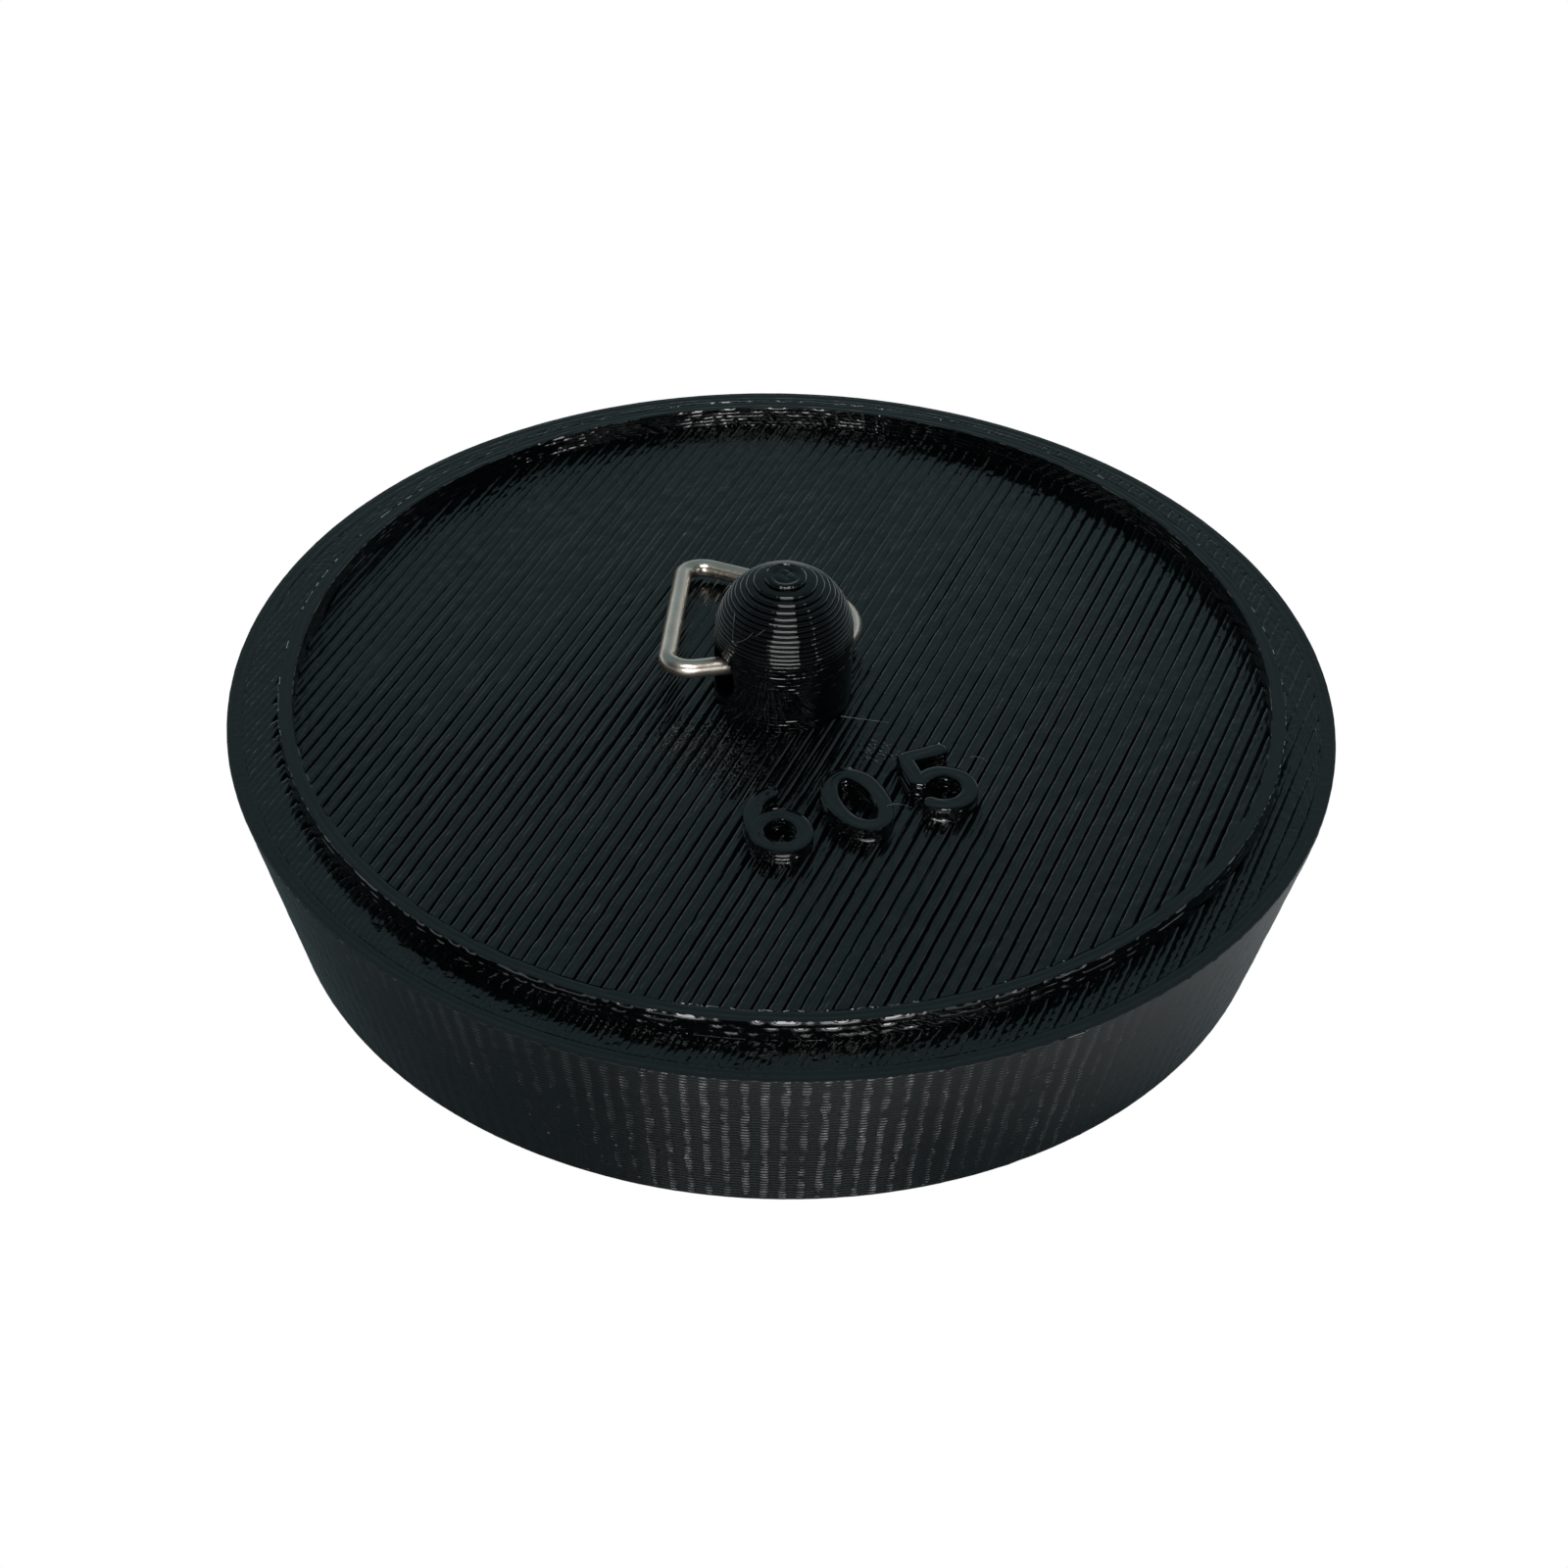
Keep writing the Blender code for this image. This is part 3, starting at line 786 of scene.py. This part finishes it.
def buildUnderside():
    # first layer on the bed: lines the other way, pressed almost flat, inside two outlines
    # the bed of lines borrows the deck's settings, with its own in place of some of them
    foot = deckRadius - deckZ * np.tan(wall["taper"])
    reach = foot - 2 * printer["bead"] + 0.05 * mm
    count = int(np.ceil(reach / printer["line"]))
    keep = dict(deck)
    deck.update(underside)
    angle = np.radians(-printer["rasterAngle"])
    halves = [(-count, 0), (0, count)]
    for i, (first, last) in enumerate(halves):
        parts = lineBed(reach, 0.0, first, last, angle, lambda x, y: 0.035 * mm, 71, down=True)
        buildPiece(f"underside_{i + 1}", parts, basePlastic, "stopper",
                   touching, 1.0)
    deck.update(keep)
    radii = np.linspace(foot - 2 * printer["bead"], foot - 0.1 * mm, 3)
    radius, z, angles = edgeBeads(radii, 0.0, 75)
    under, back = turned(radius, -z * 0.5, angles), turned(radii[[-1, 0], None], 0.3 * mm, angles)
    part = gridPart(np.concatenate([under, back]), wrapRows=True)
    buildPiece("underside_edge", [part], basePlastic, "stopper")


buildUnderside()


ring = {
    "wire": 1.0 * mm,
    "width": 12.27 * mm,        # straight side, between wire centres
    "depth": 9.9 * mm,          # straight side to crown, between wire centres
    "corner": 1.2 * mm,         # bend radius at the ends of the straight side
    "crown": 4.3 * mm,          # bend radius between the two arms
    "turn": np.radians(63.3),   # in the ring's own plane
    "slide": 1.32 * mm,         # along the hole
    "roll": np.radians(5.0),    # lean to one side
    "gap": 0.2 * mm,            # wire to deck where the ring lies
}


def ringCentreline():
    # a straight side, two small corners and two straight arms that meet the round crown, turned
    # in its plane, with its lowest stretch laid evenly either side of the hole's axis; an arm is
    # the outer tangent of a corner's circle and the crown's
    corner, crown = ring["corner"], ring["crown"]
    across, along = ring["width"] / 2 - corner, ring["depth"] - crown - corner
    facing = np.arctan2(along, -across) - np.arccos((corner - crown) / np.hypot(across, along))
    facing = np.degrees(facing)
    near = arcPath((across, corner), (corner, corner), -90, facing, 20)
    top = arcPath((0, ring["depth"] - crown), (crown, crown), facing, 180 - facing, 36)
    far = arcPath((-across, corner), (corner, corner), 180 - facing, 270, 20)
    path = np.concatenate([near, np.linspace(near[-1], top[0], 13)[1:-1], top,
                           np.linspace(top[-1], far[0], 13)[1:-1], far,
                           np.linspace(far[-1], near[0], 21)[1:-1]])
    cos, sin = np.cos(ring["turn"]), np.sin(ring["turn"])
    path = np.stack([path[:, 0] * cos + path[:, 1] * sin, path[:, 0] * sin - path[:, 1] * cos], -1)
    path = path - path[path[:, 1].argmin()] + [ring["slide"], 0]
    inside = (np.abs(path[:, 0]) <= post["radius"]) & (path[:, 1] < ring["depth"] / 2)
    path[:, 1] -= path[inside, 1].max() / 2
    drop = hinge.z - deckZ - ring["wire"] / 2 - ring["gap"]
    outside = path[path[:, 1] > post["radius"]]
    slopes = (outside[:, 0] * np.sin(ring["roll"]) - drop) / (outside[:, 1] * np.cos(ring["roll"]))
    rest = Euler((np.arcsin(slopes.max()), ring["roll"], 0)).to_matrix()
    flatPath = np.concatenate([path, np.zeros((len(path), 1))], axis=1)
    return flatPath @ np.array(rest).T + np.array(hinge)


ringPath = ringCentreline()
ringParts = tubePart(ringPath, ring["wire"] / 2, 28, closed=True)
ringPiece = buildPiece("wire_ring", ringParts, nickel, "ring")
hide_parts("pull_ring")


strings = [
    # points in mm, heights above the deck, and the thread's radius
    ([(1.80, -3.79, 0.42), (2.9, -4.35, 0.30), (4.10, -5.01, 0.22)], 0.020),
    ([(6.51, -10.07, 0.93), (6.9, -10.30, 0.99), (7.26, -10.67, 0.85)], 0.018),
    ([(0.73, -12.13, 0.95), (1.3, -12.25, 0.99), (1.94, -12.56, 0.80)], 0.016),
    ([(-3.05, -0.36, 6.30), (-3.33, -0.84, 5.72), (-3.50, -1.17, 5.20)], 0.022),
    ([(-3.47, -1.42, 5.14), (-3.02, -1.88, 5.60), (-2.70, -1.98, 6.00)], 0.020),
    ([(-2.60, -2.15, 5.84), (-2.36, -2.23, 6.06), (-2.14, -2.25, 6.24)], 0.018),
]
blobs = [
    # middle in mm, height above the deck, and the blob's radius
    ((-3.50, -1.22, 5.10), 0.085),
    ((-3.62, 0.2, 4.30), 0.06),
]


def buildStrings():
    # threads through three points each, on a parabola that passes through all of them, thinner
    # towards the far end; blobs are short tubes that swell and close again
    parts = []
    for points, radius in strings:
        first, middle, last = (np.array(p) * mm + [0, 0, deckZ] for p in points)
        t = np.linspace(0, 1, 24)[:, None]
        path = first * (1 - t) * (1 - 2 * t) + middle * 4 * t * (1 - t) + last * t * (2 * t - 1)
        parts += tubePart(path, radius * mm * (1 - 0.5 * t[:, 0]), 8)
    for place, radius in blobs:
        t = np.linspace(-1, 1, 13)
        axis = np.array([0.1, 0.05, 1.0]) * radius * mm
        path = np.array(place) * mm + [0, 0, deckZ] + t[:, None] * axis
        path[:, 0] += 1e-7 * t ** 2
        parts += tubePart(path, radius * mm * np.sqrt(np.maximum(1 - t ** 2, 0.0004)), 10)
    buildPiece("print_strings", parts, stringPlastic, "stopper")


buildStrings()
print("object ready")


stage = {
    "azimuth": -23.8,           # of the camera round the object, in degrees
    "near": (0.07, 0.10, 0.11, 1),     # painted shade: the dim glow of the floor beside the object, standing in for its shadow as the plastic sees it
    "poolShift": (-9 * mm, -4 * mm),   # centre of that painted shadow pool, to the right and away
    "pool": (0.032, 0.066),            # where it starts to brighten, and where it ends
    "far": (0.95, 0.97, 0.98, 1),      # the floor farther off, and the horizon
    "low": (0.75, 0.80, 0.81, 1),      # just above the horizon
    "sky": (0.20, 0.295, 0.318, 1),    # overhead
    "front": (0.035, 0.045, 0.05, 1),  # behind the camera
    "eye": (-0.0527115, -0.1195129, 0.1124985),
    "aim": (-0.0030871, -0.0074956, 0.01085),
    "roll": 1.570,                     # of the camera about its own axis, in degrees
    "lens": 69.303,
    "softboxes": [
        # azimuth from the camera's, width in degrees, lowest and highest elevation, brightness
        (1.0, 66.0, 55.0, 74.0, 12.0),
        (3.5, 43.0, 4.0, 21.0, 13.0),
        (54.0, 5.0, 4.0, 21.0, 9.0),
    ],
    "softboxDistance": 0.5,
}


def plainFloor():
    # white to the eye; the object sees a polished, glowing floor, with painted shade dimming its
    # glow close to the object
    material, nodes, links, shader = newMaterial("pale_floor")
    shader.inputs["Base Color"].default_value = (0.02, 0.02, 0.02, 1)
    shader.inputs["Roughness"].default_value = 0.12
    coords = nodes.new("ShaderNodeTexCoord")
    length = nodes.new("ShaderNodeVectorMath")
    length.operation = "DISTANCE"
    turn = np.radians(stage["azimuth"])
    right, away = stage["poolShift"]
    length.inputs[1].default_value = (right * np.cos(turn) - away * np.sin(turn),
                                      right * np.sin(turn) + away * np.cos(turn), 0)
    links.new(coords.outputs["Object"], length.inputs[0])
    # painted shade: the floor's glow drops to the dim near tone in a pool round the object, in
    # place of its shadow
    share = spread(nodes, links, length.outputs["Value"], 0, 1, *stage["pool"])
    tinted(nodes, links, share, stage["near"], stage["far"], shader.inputs["Emission Color"])
    shader.inputs["Emission Strength"].default_value = 1.0
    white = nodes.new("ShaderNodeEmission")
    white.inputs["Strength"].default_value = 1.0
    lightPath = nodes.new("ShaderNodeLightPath")
    either = nodes.new("ShaderNodeMixShader")
    links.new(lightPath.outputs["Is Camera Ray"], either.inputs[0])
    links.new(shader.outputs["BSDF"], either.inputs[1])
    links.new(white.outputs["Emission"], either.inputs[2])
    links.new(either.outputs["Shader"], nodes["Material Output"].inputs["Surface"])
    mesh = bpy.data.meshes.new("floor")
    mesh.from_pydata([(-3, -3, 0), (3, -3, 0), (3, 3, 0), (-3, 3, 0)], [], [(0, 1, 2, 3)])
    mesh.materials.append(material)
    floor = bpy.data.objects.new("floor", mesh)
    floor.location.z = -0.01 * mm
    bpy.context.scene.collection.objects.link(floor)


def studioWorld():
    # white to the eye and at the horizon, soft grey above, and dark behind the camera
    world = bpy.data.worlds.new("studio")
    world.use_nodes = True
    nodes, links = world.node_tree.nodes, world.node_tree.links
    coords = nodes.new("ShaderNodeTexCoord")
    split = nodes.new("ShaderNodeSeparateXYZ")
    links.new(coords.outputs["Generated"], split.inputs["Vector"])
    ramp = nodes.new("ShaderNodeValToRGB")
    links.new(split.outputs["Z"], ramp.inputs["Fac"])
    ramp.color_ramp.elements[0].color = stage["far"]
    ramp.color_ramp.elements[1].position = 0.32
    ramp.color_ramp.elements[1].color = stage["sky"]
    ramp.color_ramp.elements.new(0.12).color = stage["low"]
    ahead = nodes.new("ShaderNodeVectorMath")
    ahead.operation = "DOT_PRODUCT"
    turn = np.radians(stage["azimuth"])
    ahead.inputs[1].default_value = (np.sin(turn), -np.cos(turn), 0)
    links.new(coords.outputs["Generated"], ahead.inputs[0])
    front = nodes.new("ShaderNodeMix")
    front.data_type = "RGBA"
    front.inputs[7].default_value = stage["front"]
    links.new(spread(nodes, links, ahead.outputs["Value"], 0, 1, -0.30, 0.15), front.inputs[0])
    links.new(ramp.outputs["Color"], front.inputs[6])
    lightPath = nodes.new("ShaderNodeLightPath")
    seen = nodes.new("ShaderNodeMix")
    seen.data_type = "RGBA"
    seen.inputs[7].default_value = (1, 1, 1, 1)
    links.new(lightPath.outputs["Is Camera Ray"], seen.inputs[0])
    links.new(front.outputs[2], seen.inputs[6])
    links.new(seen.outputs[2], nodes["Background"].inputs["Color"])
    bpy.context.scene.world = world


def placeSoftbox(name, azimuth, spreadAngle, lowest, highest, brightness):
    # an upright rectangle of light that faces the object; its radiance is power / (pi * area)
    around = np.radians(azimuth + stage["azimuth"])
    distance = stage["softboxDistance"]
    width = 2 * distance * np.tan(np.radians(spreadAngle / 2))
    bottom, top = distance * np.tan(np.radians(lowest)), distance * np.tan(np.radians(highest))
    outward = Vector((np.sin(around), -np.cos(around), 0))
    lamp = bpy.data.lights.new(name, "AREA")
    lamp.shape = "RECTANGLE"
    lamp.size, lamp.size_y = width, top - bottom
    lamp.energy = brightness * np.pi * width * (top - bottom)
    holder = bpy.data.objects.new(name, lamp)
    holder.location = outward * distance + Vector((0, 0, deckZ + (top + bottom) / 2))
    holder.rotation_euler = outward.to_track_quat("Z", "Y").to_euler()
    bpy.context.scene.collection.objects.link(holder)


plainFloor()
studioWorld()
for i, box in enumerate(stage["softboxes"]):
    placeSoftbox(f"softbox_{i + 1}", *box)

camera = bpy.data.cameras.new("camera")
camera.lens, camera.sensor_width = stage["lens"], 36.0
camera.clip_start = 0.005
cameraObject = bpy.data.objects.new("camera", camera)
eye, aim = Vector(stage["eye"]), Vector(stage["aim"])
level = (aim - eye).to_track_quat("-Z", "Y").to_matrix()
facing = level @ Matrix.Rotation(np.radians(stage["roll"]), 3, "Z")
cameraObject.location, cameraObject.rotation_euler = eye, facing.to_euler()
bpy.context.scene.collection.objects.link(cameraObject)
bpy.context.scene.camera = cameraObject
bpy.context.scene.view_settings.view_transform = "Standard"
print("stage ready")
